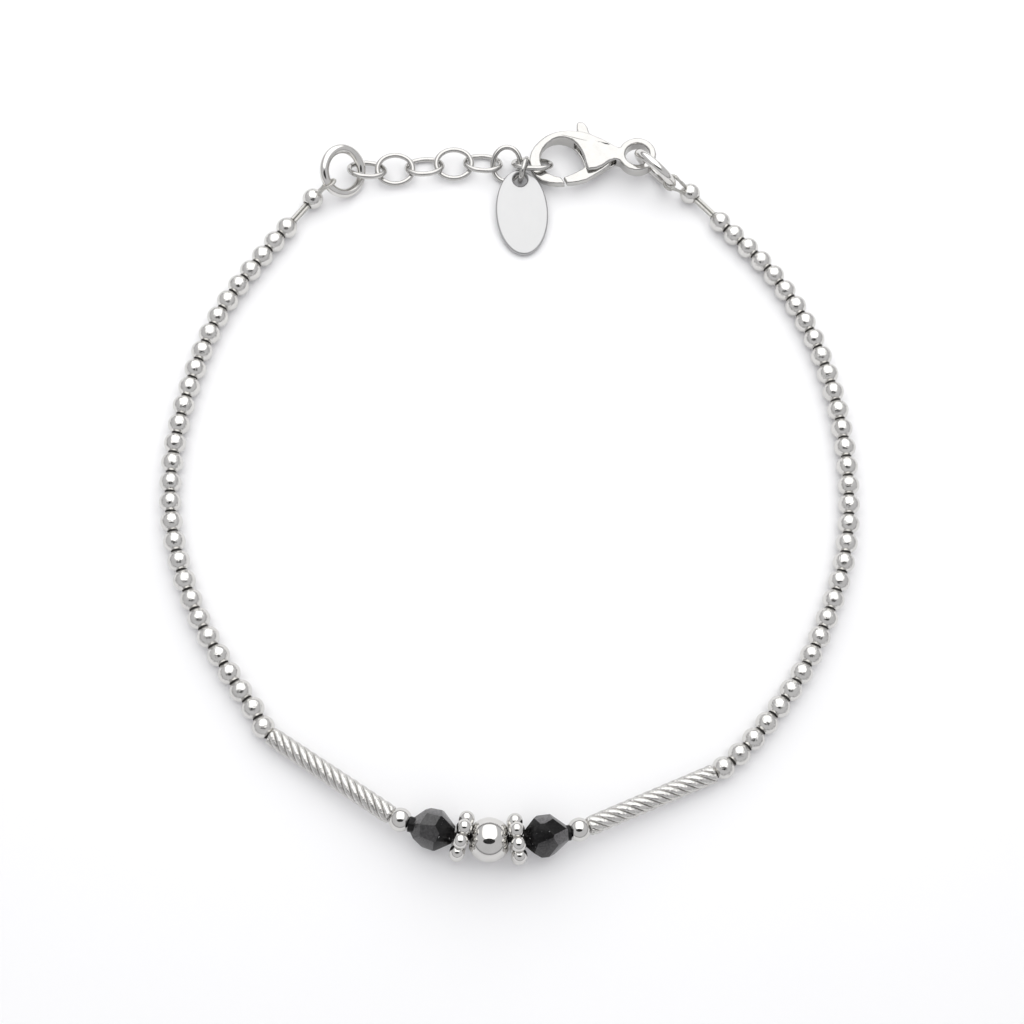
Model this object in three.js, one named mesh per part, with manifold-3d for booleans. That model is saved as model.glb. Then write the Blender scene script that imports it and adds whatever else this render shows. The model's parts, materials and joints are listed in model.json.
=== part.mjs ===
// Beaded silver bracelet with a lobster clasp, an extension chain and a blank oval tag.
// It lies fastened on a flat surface at z = 0. Lengths are in millimetres, +Z is up, and the
// clasp and chain lie towards +Y, with the large ball towards -Y.

import * as THREE from "three";
import { mergeVertices } from "three/addons/utils/BufferGeometryUtils.js";
import Module from "manifold-3d";

const wasm = await Module();
wasm.setup();

// ---------------------------------------------------------------- driving dimensions

const GAP = 0.05; // left between neighbours on the thread

const BEAD_RADIUS = 1.03; // small round beads
const BEAD_PITCH = 1.945;
const BEAD_SIDES = 8;
const BEADS_PER_STRETCH = 4;
const STRING_BEADS = { left: 29, right: 33 };

const THREAD_RADIUS = 0.25; // thread bundle inside the middle pieces
const STRAND_RADIUS = 0.18; // one strand at the open ends
const THREAD_SIDES = 6;
const LOOP_CLEARANCE = 0.08; // between the thread and the ring that it goes round
const LOOP_STEPS = 12;
const BORE_RADIUS = 0.42;

const BALL_RADIUS = 1.93;
const BALL_LENGTH = 3.4;
const SPACER_RADIUS = 2.32;
const SPACER_LENGTH = 1.3;
const SPACER_LEAN = { left: -5.5, right: 2.5 }; // degrees, outer edge towards the right
const GRANULES = 8;
const CRYSTAL_RADIUS = 1.85;
const CRYSTAL_LENGTH = 4.0;
const ROUND_RADIUS = 1.05;
const ROUND_LENGTH = 1.6;
const TUBE_RADIUS = 0.86;
const TUBE_LENGTH = { left: 13.0, right: 12.5 };
const TUBE_BORE_RADIUS = 0.55;
const TUBE_RIBS = 6;
const TUBE_LEAD = 5.3; // length in which a rib goes once round a tube
const TUBE_STEPS_PER_TURN = 12;

const LINK_WIRE = 0.24;
const RING_WIRE = 0.48;
const TAG_RING_WIRE = 0.22;

const TAG_HALF_LENGTH = 4.55;
const TAG_HALF_WIDTH = 2.62;
const TAG_THICKNESS = 0.6;
const TAG_HOLE_RADIUS = 0.7;
const TAG_HOLE_FROM_CENTRE = 3.45;

const CLASP_TILT = 5.22; // degrees, eye end up
const CLASP_HALF_THICKNESS = 1.0; // at the cheeks
const CLASP_HOOK_SHARE = 0.45; // hook thickness over cheek thickness
const CLASP_EYE_SHARE = 0.7; // eye thickness over cheek thickness
const EYE_RADIUS = 1.92;
const EYE_HOLE_RADIUS = 1.22;
const SLOT_HALF_HEIGHT = 0.5;
const LEVER_HALF_THICKNESS = 0.42;
const RIVET_RADIUS = 0.4;
const RIVET_CLEARANCE = 0.05;

// Where the thread runs: bead centres up the left side, round the ball and up the right side.
const ROUTE_STATIONS = [
  { x: -20.2, y: 31.1, z: 1.03 },
  { x: -24.7, y: 24.8, z: 1.03 },
  { x: -28.6, y: 18.3, z: 1.03 },
  { x: -31.0, y: 10.6, z: 1.03 },
  { x: -32.1, y: 2.9, z: 1.03 },
  { x: -31.6, y: -4.0, z: 1.03 },
  { x: -29.2, y: -11.2, z: 1.03 },
  { x: -25.8, y: -17.1, z: 1.03 },
  { x: -23.5, y: -20.3, z: 1.03 },
  { x: -21.76, y: -22.85, z: 1.05 },
  { x: -18.15, y: -25.2, z: 1.35 },
  { x: -14.54, y: -27.55, z: 1.65 },
  { x: -10.93, y: -29.91, z: 1.95 },
  { x: -7.4, y: -31.15, z: 2.33 },
  { x: -2.4, y: -32.0, z: 2.33 },
  { x: 2.6, y: -31.6, z: 2.33 },
  { x: 6.28, y: -30.76, z: 2.0 },
  { x: 10.1, y: -29.1, z: 1.69 },
  { x: 13.93, y: -27.44, z: 1.39 },
  { x: 17.75, y: -25.79, z: 1.08 },
  { x: 20.0, y: -24.11, z: 1.03 },
  { x: 22.7, y: -21.2, z: 1.03 },
  { x: 26.2, y: -16.5, z: 1.03 },
  { x: 28.9, y: -11.2, z: 1.03 },
  { x: 31.0, y: -5.1, z: 1.03 },
  { x: 31.8, y: 1.9, z: 1.03 },
  { x: 31.3, y: 9.6, z: 1.03 },
  { x: 29.4, y: 17.2, z: 1.03 },
  { x: 25.8, y: 24.0, z: 1.03 },
  { x: 20.7, y: 29.8, z: 1.03 },
  { x: 17.7, y: 33.0, z: 1.03 },
];
const BALL_STATION = 14;

// Rings and links: centre, half length and half width to the middle of the wire, and turns in
// degrees about Z (yaw), Y (pitch) and X (roll), the roll being made first.
const LOOPS = [
  { name: "end_ring", x: -17.27, y: 33.74, z: 2.04, long: 2.19, wide: 2.19,
    yaw: -32.4, pitch: 44, roll: 0 },
  { name: "link_1", x: -14.92, y: 34.42, z: 1.32, long: 1.78, wide: 1.45,
    yaw: 0, pitch: 3, roll: -32 },
  { name: "link_2", x: -12.12, y: 34.7, z: 1.05, long: 1.78, wide: 1.43,
    yaw: 4, pitch: 0, roll: 20 },
  { name: "link_3", x: -9.17, y: 35.15, z: 1.02, long: 1.78, wide: 1.45,
    yaw: 8, pitch: 0, roll: -30 },
  { name: "link_4", x: -6.22, y: 35.55, z: 1.05, long: 1.78, wide: 1.43,
    yaw: 4, pitch: 0, roll: 20 },
  { name: "link_5", x: -3.3, y: 35.75, z: 1.02, long: 1.78, wide: 1.45,
    yaw: -1, pitch: 0, roll: -30 },
  { name: "link_6", x: -0.9, y: 35.7, z: 1.1, long: 1.68, wide: 1.38,
    yaw: 84, pitch: -30, roll: 0 },
  { name: "link_7", x: 1.7, y: 35.72, z: 1.25, long: 1.9, wide: 1.45,
    yaw: 0, pitch: 0, roll: -42 },
  { name: "tag_ring", x: 0.75, y: 34.8, z: 1.52, long: 1.22, wide: 1.22,
    yaw: 75, pitch: 0, roll: 92 },
  { name: "clasp_ring", x: 13.98, y: 34.75, z: 2.65, long: 2.25, wide: 2.25,
    yaw: -44, pitch: 0, roll: -69 },
];
const THREAD_GRIP = { end_ring: -99, clasp_ring: -3 }; // place on each ring held by the thread, degrees
const TAG_PLACE = { x: 0.66, y: 30.36, yaw: 3.5, tilt: 6.6 };
const EYE_PLACE = { x: 12.27, y: 36.4, z: 2.07 };

// Clasp outlines seen from above, measured from the middle of the eye, with the hook towards -x.
const CLASP_BACK = [
  // neck, over the back of the clasp, and down the outside of the hook to its tip
  [-2.2, 0.95], [-2.75, 1.22], [-3.3, 1.56], [-4.0, 1.94], [-4.7, 2.28], [-5.4, 2.54], [-6.2, 2.68],
  [-7.0, 2.75], [-7.8, 2.75], [-8.55, 2.65], [-9.25, 2.38], [-9.86, 1.9], [-10.37, 1.3], [-10.76, 0.6],
  [-10.92, -0.2], [-10.9, -0.9], [-10.7, -1.6], [-10.3, -2.22], [-9.7, -2.74], [-8.9, -3.03],
  [-8.05, -3.13], [-7.3, -3.12],
];
const CLASP_MOUTH = [
  // hook tip, round the inside of the hook and down to the corner of the cheek
  [-7.72, -2.34], [-8.35, -2.2], [-9.05, -1.82], [-9.55, -1.18], [-9.8, -0.4], [-9.76, 0.3], [-9.55, 0.88],
  [-9.13, 1.42], [-8.55, 1.82], [-7.85, 1.99], [-7.2, 1.92], [-6.6, 1.63], [-6.13, 1.15], [-5.74, 0.5],
  [-5.44, -0.3], [-5.26, -1.1], [-5.02, -1.85],
];
const CLASP_CHEEK = [[-4.16, -1.74], [-3.5, -1.42], [-2.84, -0.9], [-2.2, -0.6]];
const LEVER_OUTLINE = [
  [-7.12, -3.08], [-6.2, -3.0], [-5.15, -2.72], [-4.35, -2.22], [-3.55, -1.68], [-2.85, -1.12], [-2.5, -0.5],
  [-2.42, 0.1], [-2.6, 0.7], [-3.1, 1.25], [-4.0, 1.98], [-4.8, 2.75], [-4.95, 3.4], [-5.3, 3.97],
  [-5.78, 4.08], [-6.08, 3.9], [-6.08, 3.0], [-5.6, 2.1], [-4.95, 1.1], [-4.6, 0.1], [-4.85, -0.8],
  [-5.62, -1.45], [-6.4, -1.9], [-7.1, -2.2], [-7.5, -2.36],
];
const PIVOT = { x: -3.45, y: 0.1 };

// ---------------------------------------------------------------- finishes

const silver = () => new THREE.MeshStandardMaterial({ color: 0xdcdcd8, metalness: 1, roughness: 0.18 });
const brushedSilver = () => new THREE.MeshStandardMaterial({ color: 0xe2e2e0, metalness: 1, roughness: 0.4 });
const darkCrystal = () => {
  return new THREE.MeshStandardMaterial({ color: 0x17171b, metalness: 0.2, roughness: 0.12 });
};
const nylon = () => new THREE.MeshStandardMaterial({ color: 0xc9c8c4, metalness: 0, roughness: 0.5 });

// ---------------------------------------------------------------- the route of the thread

const ROUTE_DIVISIONS_PER_STATION = 100;
const route = new THREE.CatmullRomCurve3(
  ROUTE_STATIONS.map((station) => new THREE.Vector3(station.x, station.y, station.z)),
  false,
  "catmullrom",
  0.5,
);
route.arcLengthDivisions = ROUTE_DIVISIONS_PER_STATION * (ROUTE_STATIONS.length - 1);
const routeLengths = route.getLengths();
const routeLength = routeLengths[routeLengths.length - 1];
const ballArc = routeLengths[ROUTE_DIVISIONS_PER_STATION * BALL_STATION];

// Axes at a distance along the thread from the middle of the ball, positive towards the right.
function frameAt(arc) {
  const share = THREE.MathUtils.clamp((ballArc + arc) / routeLength, 0, 1);
  const point = route.getPointAt(share);
  point.z = Math.max(point.z, BEAD_RADIUS);
  const along = route.getTangentAt(share);
  const side = new THREE.Vector3().crossVectors(along, new THREE.Vector3(0, 0, 1)).normalize();
  const up = new THREE.Vector3().crossVectors(side, along);
  return { point, along, side, up };
}

// Lays a straight piece made along +Y on the thread, touching it at both ends of its length.
function layStraight(geometry, arc, length) {
  const [start, end] = [arc, arc + length].map((place) => frameAt(place).point);
  const along = new THREE.Vector3().subVectors(end, start).normalize();
  const side = new THREE.Vector3().crossVectors(along, new THREE.Vector3(0, 0, 1)).normalize();
  const axes = new THREE.Matrix4().makeBasis(side, along, new THREE.Vector3().crossVectors(side, along));
  geometry.translate(0, -length / 2, 0);
  return geometry.applyMatrix4(axes.setPosition(start.add(end).divideScalar(2)));
}

// Bends a shape made along +Y onto the thread, with its own y = 0 at the given distance.
function layOnRoute(geometry, arc) {
  const position = geometry.attributes.position;
  for (let index = 0; index < position.count; index += 1) {
    const frame = frameAt(arc + position.getY(index));
    const placed = frame.point.clone();
    placed.addScaledVector(frame.side, position.getX(index));
    placed.addScaledVector(frame.up, position.getZ(index));
    position.setXYZ(index, placed.x, placed.y, placed.z);
  }
  return geometry;
}

// ---------------------------------------------------------------- shapes

// A turned shape along +Y. Each row has a radius r, a place y and, if wanted, a turn in radians.
function turned(rows, sides, phase = 0) {
  const profile = rows.map((row) => new THREE.Vector2(row.r, row.y));
  const geometry = new THREE.LatheGeometry(profile, sides);
  const position = geometry.attributes.position;
  const vertex = new THREE.Vector3();
  const axis = new THREE.Vector3(0, 1, 0);
  for (let index = 0; index < position.count; index += 1) {
    const row = rows[index % rows.length];
    vertex.fromBufferAttribute(position, index);
    vertex.applyAxisAngle(axis, phase + (row.turn ?? 0));
    position.setXYZ(index, vertex.x, vertex.y, vertex.z);
  }
  return geometry;
}

// A turned shape with a bore for the thread through it.
function bored(outerRows, sides, boreRadius = BORE_RADIUS) {
  const first = { r: boreRadius, y: outerRows[0].y };
  const last = { r: boreRadius, y: outerRows[outerRows.length - 1].y };
  return turned([first, ...outerRows, last, first], sides);
}

// Rows of a ball cut flat where its hole comes out.
function ballRows(radius, length, bands) {
  const last = Math.asin(length / 2 / radius);
  const rows = [];
  for (let band = 0; band <= bands; band += 1) {
    const angle = last * ((2 * band) / bands - 1);
    rows.push({ r: radius * Math.cos(angle), y: radius * Math.sin(angle) });
  }
  return rows;
}

// A straight row of small beads along +Y, joined at their holes. The first bead is centred on y = 0.
// Their eight sides have one flat facet underneath.
const toFlats = 1 / Math.cos(Math.PI / BEAD_SIDES);
const BEAD_ROWS = [
  { r: 0.76, y: -0.7 },
  { r: BEAD_RADIUS, y: -0.28 },
  { r: BEAD_RADIUS, y: 0.28 },
  { r: 0.76, y: 0.7 },
];
const BEAD_HOLE_RADIUS = 0.42;

function beadRow(count) {
  const halfPitch = BEAD_PITCH / 2;
  const rows = [];
  const addRow = (r, y) => rows.push({ r: r * toFlats, y });
  addRow(0, GAP / 2 - halfPitch);
  addRow(BEAD_HOLE_RADIUS, GAP / 2 - halfPitch);
  for (let bead = 0; bead < count; bead += 1) {
    const centre = bead * BEAD_PITCH;
    BEAD_ROWS.forEach((row) => addRow(row.r, centre + row.y));
    const end = bead === count - 1 ? -GAP / 2 : 0;
    addRow(BEAD_HOLE_RADIUS, centre + halfPitch + end);
  }
  addRow(0, rows[rows.length - 1].y);
  return turned(rows, BEAD_SIDES, Math.PI / BEAD_SIDES);
}

// A spirally ribbed tube bead: its section has one corner for each rib.
function twistedTube(length) {
  const steps = Math.round((TUBE_STEPS_PER_TURN * length) / TUBE_LEAD);
  const rows = [];
  for (let step = 0; step <= steps; step += 1) {
    const y = (length * step) / steps;
    rows.push({ r: TUBE_RADIUS, y, turn: (2 * Math.PI * y) / TUBE_LEAD });
  }
  return bored(rows, TUBE_RIBS, TUBE_BORE_RADIUS);
}

// A crystal with staggered facets and a blunt flat round each end of its hole.
function facetedCrystal() {
  const sides = 8;
  const halfTurn = Math.PI / sides;
  const end = CRYSTAL_LENGTH / 2;
  const rows = [
    { r: 0.8, y: -end, turn: 0 },
    { r: 1.5, y: -0.65 * end, turn: 0 },
    { r: CRYSTAL_RADIUS, y: -0.22 * end, turn: halfTurn },
    { r: CRYSTAL_RADIUS, y: 0.22 * end, turn: halfTurn },
    { r: 1.5, y: 0.65 * end, turn: 0 },
    { r: 0.8, y: end, turn: 0 },
  ];
  return bored(rows, sides).translate(0, end, 0);
}

// A ring of granules round the thread, soldered to their neighbours, with a gap at the top.
function granuleSpacer(lean) {
  const granule = SPACER_LENGTH / 2;
  const ringRadius = SPACER_RADIUS - granule;
  const waist = 0.3;
  const stepsPerGranule = 4;
  const sides = 5;
  const geometry = new THREE.TorusGeometry(ringRadius, 1, sides, GRANULES * stepsPerGranule);
  const position = geometry.attributes.position;
  const pitch = (2 * Math.PI) / GRANULES;
  for (let index = 0; index < position.count; index += 1) {
    const x = position.getX(index);
    const y = position.getY(index);
    const around = Math.atan2(y, x);
    const fromGranule = around - pitch * (Math.floor(around / pitch) + 0.5);
    const sideways = ringRadius * Math.sin(fromGranule);
    const reach = Math.sqrt(Math.max(granule ** 2 - sideways ** 2, waist ** 2));
    const radius = ringRadius + reach * (Math.hypot(x, y) - ringRadius);
    const z = position.getZ(index) * reach;
    position.setXYZ(index, radius * Math.cos(around), radius * Math.sin(around), z);
  }
  geometry.rotateX(Math.PI / 2).rotateZ(THREE.MathUtils.degToRad(lean));
  return geometry.translate(0, granule, 0);
}

// A closed loop of round wire whose middle follows an oval in the XY plane.
function wireLoop(halfLength, halfWidth, wireRadius, steps, sides) {
  const geometry = new THREE.TorusGeometry(1, 0.5, sides, steps);
  const position = geometry.attributes.position;
  for (let index = 0; index < position.count; index += 1) {
    const x = position.getX(index);
    const y = position.getY(index);
    const around = Math.atan2(y, x);
    const outwards = (Math.hypot(x, y) - 1) * 2 * wireRadius;
    const normal = new THREE.Vector2(halfWidth * Math.cos(around), halfLength * Math.sin(around)).normalize();
    const placedX = halfLength * Math.cos(around) + normal.x * outwards;
    const placedY = halfWidth * Math.sin(around) + normal.y * outwards;
    position.setXYZ(index, placedX, placedY, position.getZ(index) * 2 * wireRadius);
  }
  return geometry;
}

// A round strand with capped ends through the given points.
function strand(points, steps) {
  const section = new THREE.Shape();
  section.absarc(0, 0, STRAND_RADIUS, 0, 2 * Math.PI);
  return new THREE.ExtrudeGeometry(section, {
    steps,
    curveSegments: THREAD_SIDES / 2,
    extrudePath: new THREE.CatmullRomCurve3(points),
  });
}

// A plate of the given half thickness, centred on z = 0, with its edges bevelled.
function plate(shape, halfThickness, bevel, curveSegments) {
  const geometry = new THREE.ExtrudeGeometry(shape, {
    depth: 2 * (halfThickness - bevel),
    bevelEnabled: true,
    bevelThickness: bevel,
    bevelSize: bevel,
    bevelOffset: -bevel,
    bevelSegments: 1,
    curveSegments,
  });
  return geometry.translate(0, 0, bevel - halfThickness);
}

// ---------------------------------------------------------------- joining and cutting

function solidFrom(geometry) {
  const bare = geometry.clone();
  bare.deleteAttribute("normal");
  bare.deleteAttribute("uv");
  const merged = mergeVertices(bare, 1e-4);
  const corners = merged.index.array;
  const kept = [];
  for (let index = 0; index < corners.length; index += 3) {
    const [a, b, c] = corners.slice(index, index + 3);
    if (a !== b && b !== c && c !== a) {
      kept.push(a, b, c);
    }
  }
  const mesh = new wasm.Mesh({
    numProp: 3,
    vertProperties: new Float32Array(merged.attributes.position.array),
    triVerts: new Uint32Array(kept),
  });
  return new wasm.Manifold(mesh);
}

function geometryFrom(solid) {
  const mesh = solid.getMesh();
  const geometry = new THREE.BufferGeometry();
  geometry.setAttribute("position", new THREE.Float32BufferAttribute(mesh.vertProperties, 3));
  geometry.setIndex(new THREE.Uint32BufferAttribute(mesh.triVerts, 1));
  geometry.computeVertexNormals();
  return geometry;
}

function namedMesh(name, geometry, material) {
  const mesh = new THREE.Mesh(geometry, material);
  mesh.name = name;
  return mesh;
}

const bracelet = new THREE.Group();

// ---------------------------------------------------------------- pieces on the thread

const ball = bored(ballRows(BALL_RADIUS, BALL_LENGTH, 8), 14);
bracelet.add(namedMesh("silver_ball", layOnRoute(ball, 0), silver()));

const centreThreadEnds = {};
const stringEnds = {};
for (const side of ["left", "right"]) {
  const direction = side === "left" ? -1 : 1;
  const spacer = granuleSpacer(SPACER_LEAN[side]);
  const round = bored(ballRows(ROUND_RADIUS, ROUND_LENGTH, 4), 10).translate(0, ROUND_LENGTH / 2, 0);
  const tubeLength = TUBE_LENGTH[side];
  const pieces = [
    { name: "daisy_spacer", length: SPACER_LENGTH, shape: spacer, finish: silver() },
    { name: "crystal", length: CRYSTAL_LENGTH, shape: facetedCrystal(), finish: darkCrystal() },
    { name: "small_round", length: ROUND_LENGTH, shape: round, finish: silver() },
    { name: "twisted_tube", length: tubeLength, shape: twistedTube(tubeLength), finish: silver() },
  ];
  let reached = BALL_LENGTH / 2 + GAP;
  for (const piece of pieces) {
    const start = side === "left" ? -reached - piece.length : reached;
    const lay = piece.name === "twisted_tube" ? layStraight : layOnRoute;
    const geometry = lay(piece.shape, start, piece.length);
    bracelet.add(namedMesh(`${piece.name}_${side}`, geometry, piece.finish));
    reached += piece.length + GAP;
  }
  centreThreadEnds[side] = direction * (reached - 2 * GAP);

  const count = STRING_BEADS[side];
  const stretches = Math.floor(count / BEADS_PER_STRETCH);
  for (let stretch = 0; stretch < stretches; stretch += 1) {
    const firstBead = stretch * BEADS_PER_STRETCH;
    const beads = stretch === stretches - 1 ? count - firstBead : BEADS_PER_STRETCH;
    const nearest = side === "left" ? firstBead + beads - 1 : firstBead;
    const arc = direction * (reached + BEAD_PITCH * (nearest + 0.5));
    const geometry = layOnRoute(beadRow(beads), arc);
    bracelet.add(namedMesh(`bead_string_${side}_${stretch + 1}`, geometry, silver()));
  }
  stringEnds[side] = direction * (reached + BEAD_PITCH * count + GAP);
}

const threadSteps = 14;
const threadLength = centreThreadEnds.right - centreThreadEnds.left;
const threadRows = [{ r: 0, y: 0 }];
for (let step = 0; step <= threadSteps; step += 1) {
  threadRows.push({ r: THREAD_RADIUS, y: (threadLength * step) / threadSteps });
}
threadRows.push({ r: 0, y: threadLength });
const centreThread = layOnRoute(turned(threadRows, THREAD_SIDES), centreThreadEnds.left);
bracelet.add(namedMesh("centre_thread", centreThread, nylon()));

// ---------------------------------------------------------------- rings and links

const WIRES = { end_ring: RING_WIRE, clasp_ring: RING_WIRE, tag_ring: TAG_RING_WIRE };
const loopMeshes = {};
for (const loop of LOOPS) {
  const wire = WIRES[loop.name] ?? LINK_WIRE;
  const heavy = wire === RING_WIRE;
  const geometry = wireLoop(loop.long, loop.wide, wire, heavy ? 20 : 16, heavy ? 8 : 6);
  const mesh = namedMesh(loop.name, geometry, silver());
  mesh.position.set(loop.x, loop.y, loop.z);
  const turns = [loop.roll, loop.pitch, loop.yaw].map(THREE.MathUtils.degToRad);
  mesh.rotation.set(...turns, "ZYX");
  mesh.updateMatrixWorld();
  loopMeshes[loop.name] = { mesh, radius: loop.long };
  bracelet.add(mesh);
}

// ---------------------------------------------------------------- thread ends

// The last bead of a side, its two strands to the string, and the thread round a ring's wire.
function threadEnd(ringName, beadArc, stringArc) {
  const beadFrame = frameAt(beadArc);
  const centre = beadFrame.point;
  const bead = turned([
    { r: 0, y: -BEAD_PITCH / 2 },
    { r: BEAD_HOLE_RADIUS * toFlats, y: -BEAD_PITCH / 2 },
    ...BEAD_ROWS.map((row) => ({ r: row.r * toFlats, y: row.y })),
    { r: BEAD_HOLE_RADIUS * toFlats, y: BEAD_PITCH / 2 },
    { r: 0, y: BEAD_PITCH / 2 },
  ], BEAD_SIDES, Math.PI / BEAD_SIDES);
  const axes = new THREE.Matrix4().makeBasis(beadFrame.side, beadFrame.along, beadFrame.up);
  bead.applyMatrix4(axes.setPosition(centre));
  let joined = solidFrom(bead);

  const grip = THREE.MathUtils.degToRad(THREAD_GRIP[ringName]);
  const { mesh, radius } = loopMeshes[ringName];
  const held = new THREE.Vector3(radius * Math.cos(grip), radius * Math.sin(grip), 0);
  held.applyMatrix4(mesh.matrixWorld);
  const wireWay = new THREE.Vector3(-Math.sin(grip), Math.cos(grip), 0).transformDirection(mesh.matrixWorld);
  const reach = new THREE.Vector3().subVectors(held, centre);
  const across = new THREE.Vector3().crossVectors(wireWay, reach).normalize();
  const outwards = new THREE.Vector3().crossVectors(across, wireWay).normalize();
  const loopRadius = RING_WIRE + STRAND_RADIUS + LOOP_CLEARANCE;
  const inBead = 0.2;
  const points = [centre.clone().addScaledVector(across, inBead)];
  for (const degrees of [130, 90, 45, 0, -45, -90, -130]) {
    const turn = THREE.MathUtils.degToRad(degrees);
    const point = held.clone();
    point.addScaledVector(across, loopRadius * Math.sin(turn));
    point.addScaledVector(outwards, loopRadius * Math.cos(turn));
    points.push(point);
  }
  points.push(centre.clone().addScaledVector(across, -inBead));
  joined = joined.add(solidFrom(strand(points, LOOP_STEPS)));

  const spread = STRAND_RADIUS + 0.01;
  const stringFrame = frameAt(stringArc);
  for (const sideways of [-spread, spread]) {
    const ends = [beadFrame, stringFrame].map((frame) => {
      return frame.point.clone().addScaledVector(frame.side, sideways);
    });
    joined = joined.add(solidFrom(strand(ends, 2)));
  }
  return geometryFrom(joined);
}

const leftEnd = threadEnd("end_ring", -ballArc, stringEnds.left);
bracelet.add(namedMesh("thread_end_left", leftEnd, silver()));
const rightEnd = threadEnd("clasp_ring", routeLength - ballArc, stringEnds.right);
bracelet.add(namedMesh("thread_end_right", rightEnd, silver()));

// ---------------------------------------------------------------- oval tag

const tagShape = new THREE.Shape();
tagShape.absellipse(0, 0, TAG_HALF_WIDTH, TAG_HALF_LENGTH, 0, 2 * Math.PI);
const tagHole = new THREE.Path();
tagHole.absarc(0, TAG_HOLE_FROM_CENTRE, TAG_HOLE_RADIUS, 0, 2 * Math.PI, true);
tagShape.holes.push(tagHole);
const tag = namedMesh("oval_tag", plate(tagShape, TAG_THICKNESS / 2, 0.1, 10), brushedSilver());
const tagTilt = THREE.MathUtils.degToRad(TAG_PLACE.tilt);
const tagHeight = TAG_HALF_LENGTH * Math.sin(tagTilt) + (TAG_THICKNESS / 2) * Math.cos(tagTilt);
tag.position.set(TAG_PLACE.x, TAG_PLACE.y, tagHeight);
tag.rotation.set(tagTilt, 0, THREE.MathUtils.degToRad(TAG_PLACE.yaw), "ZYX");
bracelet.add(tag);

// ---------------------------------------------------------------- lobster clasp

const clasp = new THREE.Group();
clasp.position.set(EYE_PLACE.x, EYE_PLACE.y, EYE_PLACE.z);
clasp.rotation.y = THREE.MathUtils.degToRad(-CLASP_TILT);
bracelet.add(clasp);

const vectors = (rows) => rows.map(([x, y]) => new THREE.Vector2(x, y));

// Share of the cheeks' thickness at a place on the clasp: full at the cheeks, thinner at hook and eye.
function thicknessShare(x, y) {
  const towardsEye = THREE.MathUtils.smoothstep(x, -3.2, -1.4);
  const alongHook = y < 0 && x < -7 ? 1 : 1 - THREE.MathUtils.smoothstep(x, -10.2, -6.6);
  return 1 - towardsEye * (1 - CLASP_EYE_SHARE) - alongHook * (1 - CLASP_HOOK_SHARE);
}

function claspBody() {
  const outline = new THREE.Shape([...vectors(CLASP_BACK), ...vectors(CLASP_MOUTH), ...vectors(CLASP_CHEEK)]);
  const neckTurn = Math.PI - 0.42;
  outline.absarc(0, 0, EYE_RADIUS, -neckTurn, neckTurn, false);
  const hole = new THREE.Path();
  hole.absarc(0, 0, EYE_HOLE_RADIUS, 0, 2 * Math.PI, true);
  outline.holes.push(hole);
  const casting = plate(outline, CLASP_HALF_THICKNESS, 0.15, 8);
  const position = casting.attributes.position;
  for (let index = 0; index < position.count; index += 1) {
    const share = thicknessShare(position.getX(index), position.getY(index));
    position.setZ(index, position.getZ(index) * share);
  }
  const slot = new THREE.BoxGeometry(4.15, 12, 2 * SLOT_HALF_HEIGHT).translate(-4.25, 0, 0);
  const rivetHole = upright(RIVET_RADIUS + RIVET_CLEARANCE, -2, 0.75).translate(PIVOT.x, PIVOT.y, 0);
  return geometryFrom(solidFrom(casting).subtract(solidFrom(slot)).subtract(solidFrom(rivetHole)));
}

// A round bar or hole parallel to the rivet, between two heights.
function upright(radius, low, high) {
  const sides = 12;
  return turned([{ r: 0, y: low }, { r: radius, y: low }, { r: radius, y: high }, { r: 0, y: high }], sides)
    .rotateX(Math.PI / 2);
}

function claspLever() {
  const outline = new THREE.Shape(vectors(LEVER_OUTLINE));
  const lever = plate(outline, LEVER_HALF_THICKNESS, 0.1, 1);
  const hole = upright(RIVET_RADIUS + RIVET_CLEARANCE, -2, 2).translate(PIVOT.x, PIVOT.y, 0);
  return geometryFrom(solidFrom(lever).subtract(solidFrom(hole)));
}

clasp.add(namedMesh("clasp_body", claspBody(), silver()));
clasp.add(namedMesh("clasp_lever", claspLever(), silver()));
const rivet = upright(RIVET_RADIUS, 0.05 - CLASP_HALF_THICKNESS, 0.7).translate(PIVOT.x, PIVOT.y, 0);
clasp.add(namedMesh("clasp_rivet", rivet, silver()));

// ---------------------------------------------------------------- origin

// The origin is on the surface, under the middle of the whole bracelet.
bracelet.updateMatrixWorld(true);
const extent = new THREE.Box3().setFromObject(bracelet, true);
const middle = extent.getCenter(new THREE.Vector3());
bracelet.position.set(-middle.x, -middle.y, -extent.min.z);

export default bracelet;
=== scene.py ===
"""The looks of a beaded silver bracelet, modelled round its construction frame.

Lengths are millimetres in the maker's own layout, the same as in the part's source, and
angles are degrees. ORIGIN_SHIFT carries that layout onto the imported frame, and MM turns it
into metres.
"""

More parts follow.
